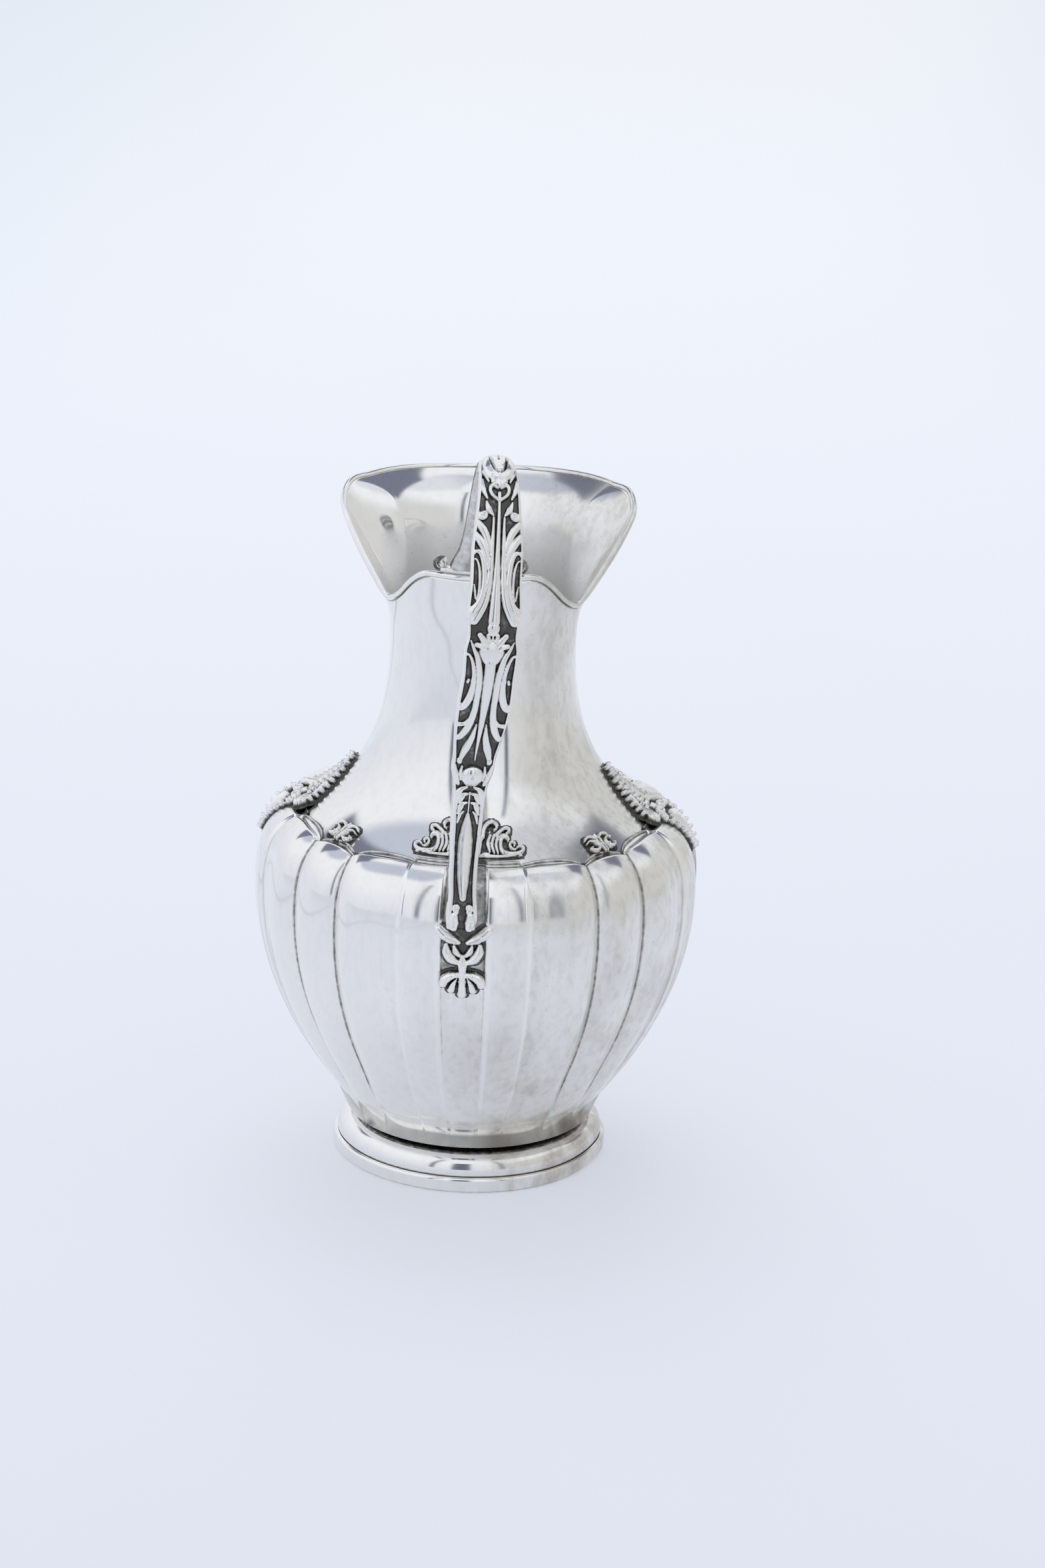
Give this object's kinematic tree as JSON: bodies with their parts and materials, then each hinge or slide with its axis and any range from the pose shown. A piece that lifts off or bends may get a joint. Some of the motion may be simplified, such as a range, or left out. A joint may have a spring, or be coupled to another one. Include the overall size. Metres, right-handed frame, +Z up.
{
  "type": "carafe",
  "caption": "Handled silver carafe: lobed bowl on a moulded foot, flared neck, half-funnel mouth for pouring, cast scroll handle and rocaille castings over the shoulder seam.",
  "frame": {"origin": "on the floor, under the middle of the jug's bounding box", "axes": "+Z up the vessel's axis, -Y towards the handle, +Y towards the pouring lip, +X to the right when the handle faces the viewer"},
  "size_m": [0.159, 0.163, 0.2643],
  "materials": {
    "polished_silver": "hand-polished silver sheet with fine scratches and a light warm tarnish",
    "cast_silver": "cast and chased silver, bright on the ridges and oxidised dark in the recesses"
  },
  "bodies": {
    "root": {"bowl": "polished_silver", "neck": "polished_silver", "rim_wire": "polished_silver", "foot_ring": "polished_silver", "foot_wire": "polished_silver", "handle_rim_plate": "cast_silver", "handle_lower_mount": "cast_silver", "handle": "cast_silver", "rear_crest": "cast_silver", "corner_spray_1": "cast_silver", "corner_spray_2": "cast_silver", "corner_spray_3": "cast_silver", "corner_spray_4": "cast_silver", "plaque_right": "cast_silver", "plaque_front": "cast_silver", "plaque_left": "cast_silver"}
  },
  "joints": []
}
